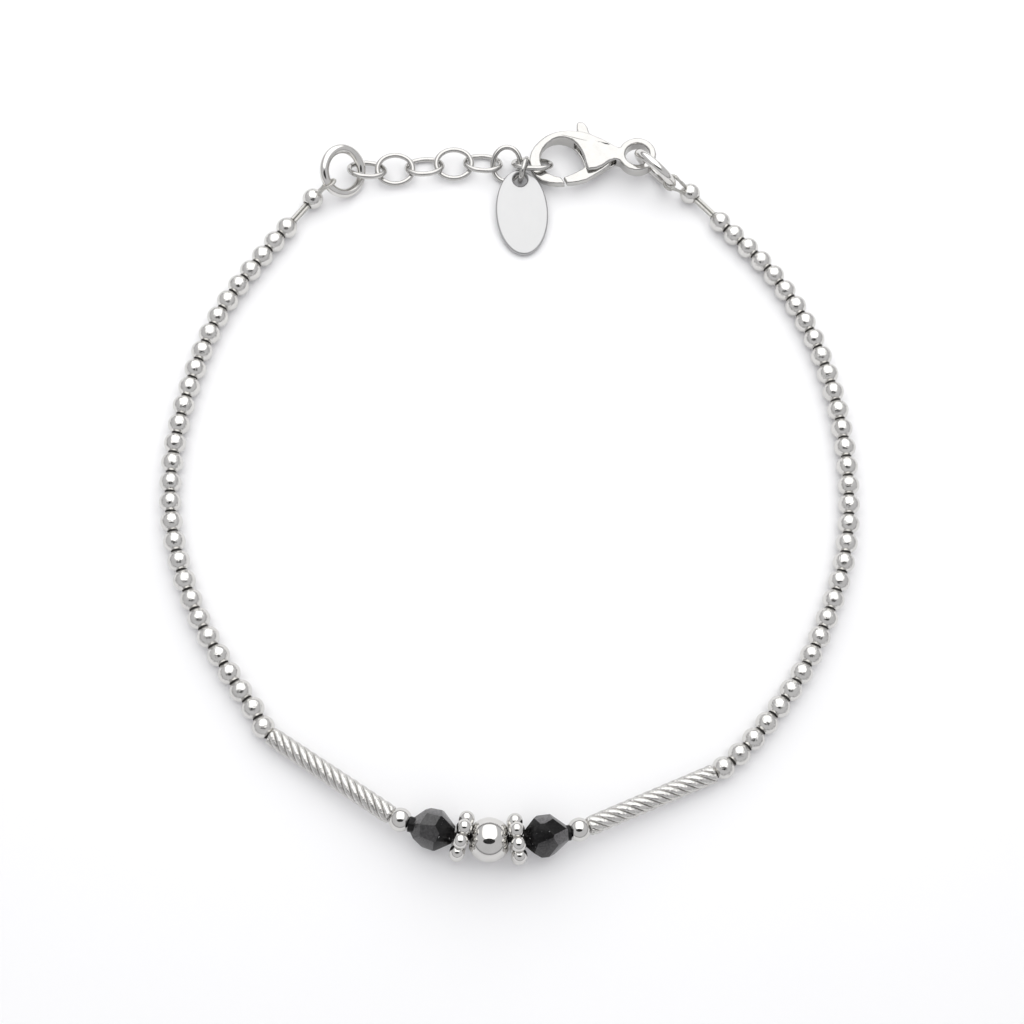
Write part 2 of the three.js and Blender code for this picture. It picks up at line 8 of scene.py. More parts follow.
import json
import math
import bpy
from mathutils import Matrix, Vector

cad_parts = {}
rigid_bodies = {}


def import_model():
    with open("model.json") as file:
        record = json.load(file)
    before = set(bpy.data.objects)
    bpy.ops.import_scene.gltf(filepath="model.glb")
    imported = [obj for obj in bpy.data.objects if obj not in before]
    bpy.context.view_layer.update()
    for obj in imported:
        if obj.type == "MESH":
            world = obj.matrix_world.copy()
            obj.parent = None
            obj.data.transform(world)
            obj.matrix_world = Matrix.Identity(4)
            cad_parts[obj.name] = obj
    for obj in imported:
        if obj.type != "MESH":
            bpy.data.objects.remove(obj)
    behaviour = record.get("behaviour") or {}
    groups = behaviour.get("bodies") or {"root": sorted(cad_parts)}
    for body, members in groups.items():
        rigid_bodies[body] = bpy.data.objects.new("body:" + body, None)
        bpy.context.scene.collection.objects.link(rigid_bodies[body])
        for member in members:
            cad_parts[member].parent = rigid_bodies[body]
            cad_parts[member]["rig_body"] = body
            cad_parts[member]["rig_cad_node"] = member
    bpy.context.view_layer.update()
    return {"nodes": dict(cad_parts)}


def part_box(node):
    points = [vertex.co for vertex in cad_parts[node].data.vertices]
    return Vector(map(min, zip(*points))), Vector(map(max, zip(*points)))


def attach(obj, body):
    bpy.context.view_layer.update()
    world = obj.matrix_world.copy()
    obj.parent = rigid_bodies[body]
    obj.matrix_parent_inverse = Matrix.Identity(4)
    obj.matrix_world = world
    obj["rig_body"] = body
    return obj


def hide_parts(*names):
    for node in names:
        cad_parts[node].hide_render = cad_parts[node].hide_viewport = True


bl_info = {
    "name": "Beaded Bracelet",
    "version": (1, 0, 0),
    "blender": (4, 5, 0),
    "location": "3D View > Sidebar > Bracelet",
    "description": "Models the silver beads, centrepiece, chain, tag and clasp of a bracelet",
    "category": "Object",
}

from bisect import bisect_right

import bmesh
import bpy
from mathutils import Euler, Matrix, Vector

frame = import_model()

MM = 0.001
BODY = "bracelet"
LEVER_BODY = "clasp_lever"

# ---- the maker's layout

# Where the thread runs: down the left side, through the ball and up the right side.
ROUTE_STATIONS = [
    (-20.2, 31.1, 1.03), (-24.7, 24.8, 1.03), (-28.6, 18.3, 1.03), (-31.0, 10.6, 1.03),
    (-32.1, 2.9, 1.03), (-31.6, -4.0, 1.03), (-29.2, -11.2, 1.03), (-25.8, -17.1, 1.03),
    (-23.5, -20.3, 1.03), (-21.76, -22.85, 1.05), (-18.15, -25.2, 1.35), (-14.54, -27.55, 1.65),
    (-10.93, -29.91, 1.95), (-7.4, -31.15, 2.33), (-2.4, -32.0, 2.33), (2.6, -31.6, 2.33),
    (6.28, -30.76, 2.0), (10.1, -29.1, 1.69), (13.93, -27.44, 1.39), (17.75, -25.79, 1.08),
    (20.0, -24.11, 1.03), (22.7, -21.2, 1.03), (26.2, -16.5, 1.03), (28.9, -11.2, 1.03),
    (31.0, -5.1, 1.03), (31.8, 1.9, 1.03), (31.3, 9.6, 1.03), (29.4, 17.2, 1.03),
    (25.8, 24.0, 1.03), (20.7, 29.8, 1.03), (17.7, 33.0, 1.03),
]
BALL_STATION = 14
GAP = 0.05  # left between neighbours on the thread
BEAD_PITCH = 1.945
BEADS_PER_STRETCH = 4
STRING_BEADS = {"left": 29, "right": 33}
BALL_LENGTH = 3.4
SPACER_LENGTH = 1.3
CRYSTAL_LENGTH = 4.0
ROUND_LENGTH = 1.6
TUBE_LENGTH = {"left": 13.0, "right": 12.5}
SPACER_LEAN = {"left": -5.5, "right": 2.5}

# Rings and links: centre, half length, half width, then yaw, pitch and roll.
LOOPS = {
    "end_ring": (-17.27, 33.74, 2.04, 2.18, 2.18, -32.4, 44, 0),
    "link_1": (-14.92, 34.42, 1.32, 1.78, 1.45, 0, 3, -32),
    "link_2": (-12.12, 34.7, 1.05, 1.78, 1.43, 4, 0, 20),
    "link_3": (-9.17, 35.15, 1.02, 1.78, 1.45, 8, 0, -30),
    "link_4": (-6.22, 35.55, 1.05, 1.78, 1.43, 4, 0, 20),
    "link_5": (-3.3, 35.75, 1.02, 1.78, 1.45, -1, 0, -30),
    "link_6": (-0.9, 35.7, 1.1, 1.68, 1.38, 84, -30, 0),
    "link_7": (1.7, 35.72, 1.25, 1.9, 1.45, 0, 0, -42),
    "tag_ring": (0.75, 34.8, 1.52, 1.22, 1.22, 75, 0, 92),
    "clasp_ring": (13.98, 34.75, 2.65, 2.23, 2.23, -44, 0, -69),
}
RINGS = ("end_ring", "clasp_ring")
THREAD_GRIP = {"end_ring": -99, "clasp_ring": -3}  # angle round the ring
TAG_PLACE = (0.66, 30.36)
TAG_YAW = 3.5
TAG_TILT = 6.6

# A ring's box is centred on the ring, so it gives the shift from the layout to the frame.
ring_low, ring_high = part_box("end_ring")
ORIGIN_SHIFT = (ring_low + ring_high) / 2 / MM - Vector(LOOPS["end_ring"][:3])
ORIGIN_SHIFT.z = 0.0

# ---- the thread's route

STEPS_PER_STATION = 100


def on_curve(corners, share):
    """Point and direction a share of the way along the middle one of three spans."""
    p0, p1, p2, p3 = corners
    t0, t1 = (p2 - p0) / 2, (p3 - p1) / 2
    c2 = 3 * (p2 - p1) - 2 * t0 - t1
    c3 = 2 * (p1 - p2) + t0 + t1
    point = p1 + share * (t0 + share * (c2 + share * c3))
    return point, t0 + share * (2 * c2 + 3 * share * c3)


def smooth_path(anchors, steps=8):
    """Points on a smooth curve through the anchors."""
    ends = [2 * anchors[0] - anchors[1], *anchors, 2 * anchors[-1] - anchors[-2]]
    points = []
    for corners in zip(ends, ends[1:], ends[2:], ends[3:]):
        points += [on_curve(corners, step / steps)[0] for step in range(steps)]
    return [*points, anchors[-1]]


def axes_along(way):
    """Axes with y along a direction, x level and z up."""
    side = way.cross(Vector((0, 0, 1))).normalized()
    return Matrix((side, way, side.cross(way))).transposed().to_4x4()


def turned(*degrees):
    """A turn about x, then y, then z."""
    return Euler([math.radians(angle) for angle in degrees], "XYZ").to_matrix().to_4x4()


class Route:
    """The thread's curve, read by the distance along it from the middle of the ball."""

    def __init__(self, stations):
        self.points = [Vector(station) for station in stations]
        self.points.insert(0, 2 * self.points[0] - self.points[1])
        self.points.append(2 * self.points[-1] - self.points[-2])
        self.lengths = [0.0]
        spans = len(stations) - 1
        before = self.at(0.0)[0]
        for step in range(1, spans * STEPS_PER_STATION + 1):
            point = self.at(step / STEPS_PER_STATION)[0]
            self.lengths.append(self.lengths[-1] + (point - before).length)
            before = point
        self.ball = self.lengths[BALL_STATION * STEPS_PER_STATION]
        self.start = -self.ball
        self.end = self.lengths[-1] - self.ball

    def at(self, place):
        """Point and direction at a place counted in stations."""
        span = min(int(place), len(self.points) - 4)
        return on_curve(self.points[span : span + 4], place - span)

    def frame(self, distance):
        """Axes on the thread: x to its side, y along it and z up, in millimetres."""
        reach = min(max(self.ball + distance, 0.0), self.lengths[-1])
        index = min(bisect_right(self.lengths, reach), len(self.lengths) - 1)
        low, high = self.lengths[index - 1], self.lengths[index]
        place = (index - 1 + (reach - low) / (high - low)) / STEPS_PER_STATION
        point, along = self.at(place)
        point.z = max(point.z, ROUTE_STATIONS[0][2])
        return Matrix.Translation(point + ORIGIN_SHIFT) @ axes_along(along.normalized())


route = Route(ROUTE_STATIONS)

# How far along the thread each middle piece starts, counted outwards from the ball.
REACH = {}
reached = BALL_LENGTH / 2 + GAP
for part, length in (
    ("daisy_spacer", SPACER_LENGTH),
    ("crystal", CRYSTAL_LENGTH),
    ("small_round", ROUND_LENGTH),
):
    REACH[part] = (reached, length)
    reached += length + GAP
TUBE_START = reached
OUTWARDS = {"left": -1, "right": 1}  # which way along the thread leads away from the ball


def middle_of(part, side):
    """Distance along the thread to the middle of one of the middle pieces."""
    start, length = REACH[part]
    return (start + length / 2) * OUTWARDS[side]


def string_start(side):
    """Distance from the ball, outwards, at which a side's small beads begin."""
    return TUBE_START + TUBE_LENGTH[side] + GAP


def thread_points(start, end, steps):
    """Places in metres along the thread, between two distances from the ball."""
    return [
        route.frame(start + (end - start) * step / steps).translation * MM
        for step in range(steps + 1)
    ]


# ---- modelling helpers


def deselect_all():
    if bpy.context.mode != "OBJECT":
        bpy.ops.object.mode_set(mode="OBJECT")
    bpy.ops.object.select_all(action="DESELECT")


def only(piece):
    """Makes a piece the single selected and active one."""
    deselect_all()
    piece.select_set(True)
    bpy.context.view_layer.objects.active = piece


def added(name):
    """Names the primitive that has just been added and settles it at the origin."""
    piece = bpy.context.active_object
    piece.name = name
    bpy.ops.object.transform_apply(location=True, rotation=True, scale=True)
    return piece


class Editing:
    """Edit mode on one piece, with nothing selected at the start."""

    def __init__(self, piece):
        self.piece = piece

    def __enter__(self):
        only(self.piece)
        bpy.ops.object.mode_set(mode="EDIT")
        bpy.ops.mesh.select_mode(type="VERT")
        bpy.ops.mesh.select_all(action="DESELECT")
        return self

    def __exit__(self, *problem):
        bpy.ops.object.mode_set(mode="OBJECT")

    def select(self, wanted):
        """Selects the edges that meet a test."""
        bpy.ops.mesh.select_mode(type="EDGE")
        mesh = bmesh.from_edit_mesh(self.piece.data)
        for edge in mesh.edges:
            edge.select = wanted(edge)
        mesh.select_flush(False)
        bmesh.update_edit_mesh(self.piece.data)

    def rims(self, wanted=lambda place: True):
        """Selects open edges whose middle meets a test."""
        self.select(
            lambda edge: edge.is_boundary and wanted((edge.verts[0].co + edge.verts[1].co) / 2)
        )

    def edges(self, wanted):
        """Selects the edges both of whose ends meet a test."""
        self.select(lambda edge: all(wanted(vertex.co) for vertex in edge.verts))

    def outwards(self):
        """Merges doubles and turns every face outwards."""
        bpy.ops.mesh.select_all(action="SELECT")
        bpy.ops.mesh.remove_doubles(threshold=1e-7)
        bpy.ops.mesh.normals_make_consistent(inside=False)


def apply_modifiers(piece):
    only(piece)
    for modifier in list(piece.modifiers):
        bpy.ops.object.modifier_apply(modifier=modifier.name)


def smoothed(piece, degrees):
    only(piece)
    bpy.ops.object.shade_smooth_by_angle(angle=math.radians(degrees))
    return piece


def copy_of(piece, matrix):
    """A copy with its own mesh, moved in that mesh by a matrix."""
    twin = piece.copy()
    twin.data = piece.data.copy()
    twin.data.transform(matrix)
    bpy.context.scene.collection.objects.link(twin)
    return twin


def joined(pieces, name):
    deselect_all()
    for piece in pieces:
        piece.select_set(True)
    bpy.context.view_layer.objects.active = pieces[0]
    if len(pieces) > 1:
        bpy.ops.object.join()
    whole = bpy.context.active_object
    whole.name = name
    whole.data.name = name
    return whole


def discard(piece):
    bpy.data.objects.remove(piece)


def cut_with(piece, tool, operation):
    """Joins a tool to a piece, or cuts the piece with it, once the modifiers are applied."""
    cut = piece.modifiers.new(tool.name, "BOOLEAN")
    cut.object = tool
    cut.operation = operation


def rounded_edges(piece, width, segments, degrees):
    """Rounds the edges sharper than an angle, once the modifiers are applied."""
    edges = piece.modifiers.new("edges", "BEVEL")
    edges.width = width
    edges.segments = segments
    edges.limit_method = "ANGLE"
    edges.angle_limit = math.radians(degrees)


def laid_on_chord(piece, distance, length):
    """Lays a straight piece modelled along +Y between two places on the thread."""
    start, end = (route.frame(distance + reach).translation for reach in (0, length))
    middle = Matrix.Translation((start + end) / 2) @ axes_along((end - start).normalized())
    piece.data.transform(Matrix.Scale(MM, 4) @ middle @ Matrix.Translation((0, -length / 2, 0)))


def set_on_route(distance):
    """Matrix from millimetres about a place on the thread to metres in the frame."""
    return Matrix.Scale(MM, 4) @ route.frame(distance)


def finished(piece, finish, nodes, body=BODY):
    """Gives a piece its finish, if it has none yet, and its place in the part."""
    if not piece.data.materials:
        piece.data.materials.append(finish)
    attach(piece, body)
    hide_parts(*nodes)


# ---- finishes


class Finish:
    """A material built from nodes that read object coordinates."""

    def __init__(self, name):
        self.material = bpy.data.materials.new(name)
        self.material.use_nodes = True
        self.tree = self.material.node_tree
        self.shader = self.tree.nodes["Principled BSDF"]
        self.place = self.node("ShaderNodeTexCoord").outputs["Object"]

    def node(self, kind, **values):
        """A new node with these inputs set, whose names have _ for each space."""
        node = self.tree.nodes.new(kind)
        self.fill(node, values)
        return node

    def fill(self, node, values):
        for name, value in values.items():
            node.inputs[name.replace("_", " ")].default_value = value

    def set(self, **values):
        self.fill(self.shader, values)

    def link(self, source, target):
        self.tree.links.new(source, target)

    def feed(self, name, source):
        self.link(source, self.shader.inputs[name])

    def noise(self, size, detail=3.0, roughness=0.5, place=None):
        """Noise whose features are about the given size in millimetres."""
        noise = self.node(
            "ShaderNodeTexNoise", Scale=1 / (size * MM), Detail=detail, Roughness=roughness
        )
        self.link(place or self.place, noise.inputs["Vector"])
        return noise.outputs["Fac"]

    def ranged(self, source, low, high, start=0.3, end=0.7):
        ramp = self.node("ShaderNodeMapRange", From_Min=start, From_Max=end, To_Min=low, To_Max=high)
        self.link(source, ramp.inputs["Value"])
        return ramp.outputs["Result"]

    def blend(self, source, low, high):
        """Colour that goes from one to another with a value."""
        ramp = self.node("ShaderNodeValToRGB")
        ramp.color_ramp.elements[0].color = (*low, 1)
        ramp.color_ramp.elements[1].color = (*high, 1)
        self.link(source, ramp.inputs["Fac"])
        return ramp.outputs["Color"]

    def stain(self, tone, dullest, size, detail):
        """Base colour that dulls to a share of a tone in patches."""
        patches = self.ranged(self.noise(size, detail), 0.0, 1.0)
        self.feed("Base Color", self.blend(patches, shade(tone, dullest), tone))
        return patches

    def bump(self, source, depth, strength=1.0):
        bump = self.node("ShaderNodeBump", Distance=depth * MM, Strength=strength)
        self.link(source, bump.inputs["Height"])
        self.feed("Normal", bump.outputs["Normal"])


def shade(tone, share):
    return tuple(channel * share for channel in tone)


def polished_silver(name, low, high, dents, share):
    """Bright silver with handling marks, smoother and duller in places."""
    finish = Finish(name)
    finish.set(Metallic=1.0)
    tone = shade(bpy.context.scene.bracelet_finishes.silver, share)
    finish.stain(tone, 0.93, 0.9, 4.0)
    finish.feed("Roughness", finish.ranged(finish.noise(0.35, 4.0, 0.6), low, high))
    finish.bump(finish.noise(0.22, 3.0), dents)
    return finish.material


def satin_silver(name):
    """Brushed silver for the tag, with fine lines along it."""
    finish = Finish(name)
    finish.set(Metallic=1.0)
    finish.stain(tuple(bpy.context.scene.bracelet_finishes.tag), 0.985, 1.6, 4.0)
    along_tag = (0, 0, math.radians(-TAG_YAW))
    mapping = finish.node("ShaderNodeMapping", Rotation=along_tag, Scale=(1.0, 0.06, 1.0))
    finish.link(finish.place, mapping.inputs["Vector"])
    lines = finish.noise(0.06, 3.0, place=mapping.outputs["Vector"])
    finish.feed("Roughness", finish.ranged(lines, 0.28, 0.34))
    finish.bump(lines, 0.0012, 0.5)
    return finish.material


def dark_crystal(name, low, high, shine, glint_brightness):
    """Smoky near-black cut glass between two greys; the last argument sets the brightness of a few
    light specks painted in as glints.
    """
    tint = bpy.context.scene.bracelet_finishes.crystal
    finish = Finish(name)
    finish.set(IOR=1.5, Specular_IOR_Level=shine)
    cloud = finish.ranged(finish.noise(0.22, 6.0, 0.7), 0.0, 1.0, 0.35, 0.65)
    colour = finish.blend(cloud, shade(tint, low), shade(tint, high))
    # Painted glints: a few light specks mixed into the base colour.
    if glint_brightness:
        glint_specks = finish.ranged(finish.noise(0.24, 2.0), 0.0, 1.0, 0.705, 0.745)
        mix = finish.node("ShaderNodeMix")
        mix.data_type = "RGBA"
        finish.link(glint_specks, mix.inputs["Factor"])
        sockets = [socket for socket in mix.inputs if socket.type == "RGBA"]
        finish.link(colour, sockets[0])
        sockets[1].default_value = (glint_brightness, glint_brightness, glint_brightness, 1)
        colour = next(socket for socket in mix.outputs if socket.type == "RGBA")
    finish.feed("Base Color", colour)
    finish.feed("Roughness", finish.ranged(finish.noise(0.3, 4.0), 0.1, 0.22))
    finish.bump(finish.noise(0.2, 4.0), 0.003)
    return finish.material


def thread_finish(name, tone, roughness, metallic):
    """Shiny nylon, or the near-black core that paints the shade in the gaps between beads."""
    finish = Finish(name)
    finish.set(Metallic=metallic)
    worn = finish.stain(tone, 0.6, 0.12, 3.0)
    finish.feed("Roughness", finish.ranged(worn, roughness, roughness + 0.12, 0.0, 1.0))
    finish.bump(finish.noise(0.08, 2.0), 0.008)
    return finish.material


# Painted light and shade: three copies of one crystal finish, lit, dim and shaded, given to the
# facets by how they face the lights.
LIT_FACET, DIM_FACET, SHADED_FACET = "crystal_light", "crystal_grey", "crystal_black"
SILVERS = {  # least and most roughness, depth of the dents, share of the silver's colour; the links and the clasp take a smaller share, darker copies of one silver as painted shade
    "bead_silver": (0.07, 0.14, 0.04, 1.0),
    "centre_silver": (0.05, 0.1, 0.001, 1.0),
    "tube_silver": (0.12, 0.24, 0.07, 0.94),
    "ring_silver": (0.08, 0.15, 0.0015, 1.0),
    "link_silver": (0.08, 0.15, 0.0015, 0.78),
    "clasp_silver": (0.1, 0.16, 0.0006, 0.77),
}
CRYSTALS = {  # darkest and lightest share of the tint, shine, brightness of the painted glints; the three are lit, dim and shaded copies of one crystal, as painted light and shade
    LIT_FACET: (0.055, 0.13, 0.5, None),
    DIM_FACET: (0.016, 0.052, 0.5, None),
    SHADED_FACET: (0.005, 0.014, 0.15, 0.4),
}
THREADS = {  # colour, least roughness, metallic sheen
    "thread": ((0.62, 0.61, 0.58), 0.3, 0.8),
    # Painted shade: the thread is near black where it shows between beads and middle pieces.
    "bead_core": ((0.02, 0.018, 0.016), 0.8, 0.0),
}
RECIPES = (
    (polished_silver, SILVERS),
    (satin_silver, {"tag_silver": ()}),
    (dark_crystal, CRYSTALS),
    (thread_finish, THREADS),
)
made_finishes = {}


def finish_named(name):
    """Each finish is made once, the first time that a piece asks for it."""
    if name not in made_finishes:
        maker, table = next(recipe for recipe in RECIPES if name in recipe[1])
        made_finishes[name] = maker(name, *table[name])
    return made_finishes[name]


# ---- shapes


def bored_ball(name, radius, half_length, hole, rim, segments, rings, dish=0.3):
    """A ball along +Y, cut flat at both ends, with a dished mouth and a hole through it."""
    deselect_all()
    bpy.ops.mesh.primitive_uv_sphere_add(
        segments=segments, ring_count=rings, radius=radius, rotation=(math.pi / 2, 0, 0)
    )
    ball = added(name)
    cut = math.sqrt(radius**2 - half_length**2)
    with Editing(ball) as edit:
        for way in (-1, 1):
            end = (0, way * half_length, 0)
            bpy.ops.mesh.select_all(action="SELECT")
            bpy.ops.mesh.bisect(plane_co=end, plane_no=(0, way, 0), clear_outer=True)
            edit.rims(lambda place: place.y * way > 0)
            shrink = hole / cut
            bpy.ops.mesh.extrude_region_move()
            bpy.ops.transform.resize(value=(shrink, 1, shrink), center_override=end)
            bpy.ops.transform.translate(value=(0, -way * dish * (cut - hole), 0))
        edit.rims()
        bpy.ops.mesh.bridge_edge_loops()
        edit.edges(
            lambda place: abs(abs(place.y) - half_length) < 1e-3
            and abs(math.hypot(place.x, place.z) - cut) < 1e-3
        )
        bpy.ops.mesh.bevel(offset=rim, segments=3, affect="EDGES")
        edit.outwards()
    return smoothed(ball, 40)


def tube_along(name, points, radius, sides, coiled=0.0):
    """A round rod through points in metres, with closed ends and coil grooves if wanted."""
    curve = bpy.data.curves.new(name, "CURVE")
    curve.dimensions = "3D"
    curve.bevel_depth = radius
    curve.bevel_resolution = max(sides // 2 - 2, 0)
    curve.use_fill_caps = True
    spline = curve.splines.new("POLY")
    spline.points.add(len(points) - 1)
    for index, (knot, point) in enumerate(zip(spline.points, points)):
        knot.co = (*point, 1)
        knot.radius = 1 - coiled * (index // 2 % 2)
    rod = bpy.data.objects.new(name, curve)
    bpy.context.scene.collection.objects.link(rod)
    only(rod)
    bpy.ops.object.convert(target="MESH")
    rod = bpy.context.active_object
    with Editing(rod) as edit:
        edit.outwards()
    return smoothed(rod, 50)


def wire_loop(name, half_length, half_width, wire, matrix):
    """A ring or oval link of round wire."""
    deselect_all()
    bpy.ops.curve.primitive_bezier_circle_add(radius=1)
    loop = bpy.context.active_object
    loop.name = name
    bpy.ops.object.mode_set(mode="EDIT")
    bpy.ops.curve.select_all(action="SELECT")
    bpy.ops.transform.resize(value=(half_length, half_width, 1), center_override=(0, 0, 0))
    bpy.ops.object.mode_set(mode="OBJECT")
    loop.data.resolution_u = 20
    loop.data.bevel_depth = wire
    loop.data.bevel_resolution = 7
    bpy.ops.object.convert(target="MESH")
    loop = bpy.context.active_object
    loop.data.transform(Matrix.Scale(MM, 4) @ matrix)
    with Editing(loop) as edit:
        edit.outwards()
    return smoothed(loop, 60)


def loop_matrix(name):
    x, y, z, _, _, yaw, pitch, roll = LOOPS[name]
    return Matrix.Translation(Vector((x, y, z)) + ORIGIN_SHIFT) @ turned(roll, pitch, yaw)


# ---- sizes and colours


class BraceletSizes(bpy.types.PropertyGroup):
    """Sizes of the pieces, in millimetres."""

    bead_radius: bpy.props.FloatProperty(
        name="Bead radius", description="Radius of the small round beads", default=1.03
    )
    bead_hole: bpy.props.FloatProperty(
        name="Bead mouth", description="Radius at which two small beads meet", default=0.5
    )
    ball_radius: bpy.props.FloatProperty(
        name="Ball radius", description="Radius of the middle ball", default=1.93
    )
    spacer_radius: bpy.props.FloatProperty(
        name="Spacer radius", description="Outer radius of a granule spacer", default=2.3
    )
    round_radius: bpy.props.FloatProperty(
        name="Round radius", description="Radius of the rounds by the crystals", default=1.05
    )
    crystal_radius: bpy.props.FloatProperty(
        name="Crystal radius", description="Radius over a crystal's corners", default=1.85
    )
    tube_radius: bpy.props.FloatProperty(
        name="Tube radius", description="Radius over the ribs of a twisted tube", default=0.86
    )
    tube_lead: bpy.props.FloatProperty(
        name="Tube lead", description="Length in which a rib goes once round", default=5.3
    )
    thread_radius: bpy.props.FloatProperty(
        name="Thread radius", description="Radius of one strand", default=0.18
    )
    ring_wire: bpy.props.FloatProperty(
        name="Ring wire", description="Wire radius of the two heavy rings", default=0.465
    )
    link_wire: bpy.props.FloatProperty(
        name="Link wire", description="Wire radius of the chain links", default=0.255
    )
    tag_thickness: bpy.props.FloatProperty(
        name="Tag thickness", description="Thickness of the oval tag", default=0.6
    )


class BraceletCounts(bpy.types.PropertyGroup):
    """Counts of what repeats."""

    granules: bpy.props.IntProperty(
        name="Granules", description="Granules round one spacer", default=8, min=3
    )
    ribs: bpy.props.IntProperty(
        name="Ribs", description="Ribs round a twisted tube", default=6, min=3
    )


class BraceletFinishes(bpy.types.PropertyGroup):
    """Colours of the metals, crystals and floor."""

    silver: bpy.props.FloatVectorProperty(
        name="Silver", description="Tone of the silver", subtype="COLOR", default=(0.7, 0.69, 0.67)
    )
    tag: bpy.props.FloatVectorProperty(
        name="Tag", description="Tone of the tag", subtype="COLOR", default=(0.45, 0.45, 0.452)
    )
    crystal: bpy.props.FloatVectorProperty(
        name="Crystal", description="Tint of the crystals", subtype="COLOR", default=(1, 0.97, 1)
    )
    floor: bpy.props.FloatVectorProperty(
        name="Floor", description="Tone of the floor", subtype="COLOR", default=(0.85, 0.85, 0.85)
    )


class BraceletStudio(bpy.types.PropertyGroup):
    """Light and camera."""

    softbox: bpy.props.FloatProperty(
        name="Softbox", description="Brightness of the large softbox", default=1.95
    )
    floor_glow: bpy.props.FloatProperty(
        name="Floor glow", description="Light that the translucent floor gives", default=0.075
    )
    tent: bpy.props.FloatProperty(
        name="Tent", description="Brightness of the light tent all round", default=0.70
    )
    lens: bpy.props.FloatProperty(
        name="Lens", description="Focal length", default=56.25, unit="CAMERA"
    )


# ---- operators


class BraceletOperator(bpy.types.Operator):
    bl_options = {"REGISTER", "UNDO"}

    @property
    def sizes(self):
        return bpy.context.scene.bracelet_sizes

    @property
    def counts(self):
        return bpy.context.scene.bracelet_counts

    @property
    def studio(self):
        return bpy.context.scene.bracelet_studio


def small_bead(sizes):
    half = math.sqrt(sizes.bead_radius**2 - sizes.bead_hole**2)
    bead = bored_ball(
        "bead", sizes.bead_radius, half, hole=0.45, rim=0.03, segments=40, rings=22, dish=2.0
    )
    bead.data.materials.append(finish_named("bead_silver"))
    return bead


CORE_RADIUS = 0.49  # near-black core inside a string, just under the beads' mouths, painted shade for the gaps
CORE_STEPS_PER_BEAD = 4


class BRACELET_OT_bead_strings(BraceletOperator):
    """Strings the small round beads in short stretches up both sides"""

    bl_idname = "bracelet.bead_strings"
    bl_label = "Bead Strings"

    def execute(self, context):
        bead = small_bead(self.sizes)
        for side, count in STRING_BEADS.items():
            stretches = count // BEADS_PER_STRETCH
            for stretch in range(stretches):
                first = stretch * BEADS_PER_STRETCH
                last = count if stretch == stretches - 1 else first + BEADS_PER_STRETCH
                self.string(bead, side, first, last, f"bead_string_{side}_{stretch + 1}")
        discard(bead)
        return {"FINISHED"}

    def string(self, bead, side, first, last, node):
        way = OUTWARDS[side]
        start = string_start(side)
        beads = []
        for number in range(first, last):
            distance = way * (start + BEAD_PITCH * (number + 0.5))
            beads.append(copy_of(bead, set_on_route(distance)))
        near = way * (start + BEAD_PITCH * first + GAP / 2)
        far = way * (start + BEAD_PITCH * last - GAP / 2)
        points = thread_points(near, far, CORE_STEPS_PER_BEAD * (last - first))
        core = tube_along("core", points, CORE_RADIUS * MM, sides=20)
        core.data.materials.append(finish_named("bead_core"))
        string = joined([*beads, core], f"small_beads_{side}_{first + 1}")
        finished(string, None, [node])


def set_both_sides(model, name, part, leans):
    """Sets a copy of a model on each side of the ball, leaning by so many degrees."""
    for side, lean in leans.items():
        place = set_on_route(middle_of(part, side)) @ turned(0, 0, lean)
        twin = copy_of(model, place)
        twin.name = f"{name}_{side}"
        finished(twin, finish_named("centre_silver"), [f"{part}_{side}"])
    discard(model)


class BRACELET_OT_centre_ball(BraceletOperator):
    """Turns the large ball in the middle"""

    bl_idname = "bracelet.centre_ball"
    bl_label = "Centre Ball"

    def execute(self, context):
        half = BALL_LENGTH / 2
        radius = self.sizes.ball_radius
        ball = bored_ball("polished_ball", radius, half, hole=0.45, rim=0.07, segments=72, rings=40)
        ball.data.transform(set_on_route(0))
        finished(ball, finish_named("centre_silver"), ["silver_ball"])
        return {"FINISHED"}


class BRACELET_OT_small_rounds(BraceletOperator):
    """Turns the small rounds between crystals and tubes"""

    bl_idname = "bracelet.small_rounds"
    bl_label = "Small Rounds"

    def execute(self, context):
        half = ROUND_LENGTH / 2
        radius = self.sizes.round_radius
        model = bored_ball("round", radius, half, hole=0.44, rim=0.06, segments=48, rings=28)
        set_both_sides(model, "turned_round", "small_round", {"left": 0, "right": 0})
        return {"FINISHED"}


GRANULE_SWELL = 0.04  # how far a granule stands out past each end of its spacer
SOLDER_INSET = 0.35  # from the ring of granules in to that of solder
SOLDER_RADIUS = 0.42


class BRACELET_OT_spacers(BraceletOperator):
    """Solders the two rings of granules beside the ball"""

    bl_idname = "bracelet.spacers"
    bl_label = "Granule Spacers"

    def execute(self, context):
        count = self.counts.granules
        radius = SPACER_LENGTH / 2 + GRANULE_SWELL
        ring_radius = self.sizes.spacer_radius - radius
        deselect_all()
        bpy.ops.mesh.primitive_uv_sphere_add(
            segments=36, ring_count=20, radius=radius, location=(0, 0, ring_radius)
        )
        granule = added("granule")
        turns = (2 * math.pi * (index + 0.5) / count for index in range(count))
        pieces = [copy_of(granule, Matrix.Rotation(turn, 4, "Y")) for turn in turns]
        discard(granule)
        deselect_all()
        bpy.ops.mesh.primitive_torus_add(
            major_radius=ring_radius - SOLDER_INSET,
            minor_radius=SOLDER_RADIUS,
            major_segments=64,
            minor_segments=20,
            rotation=(math.pi / 2, 0, 0),
        )
        pieces.append(added("solder"))
        model = smoothed(joined(pieces, "granules"), 80)
        set_both_sides(model, "granule_spacer", "daisy_spacer", SPACER_LEAN)
        return {"FINISHED"}
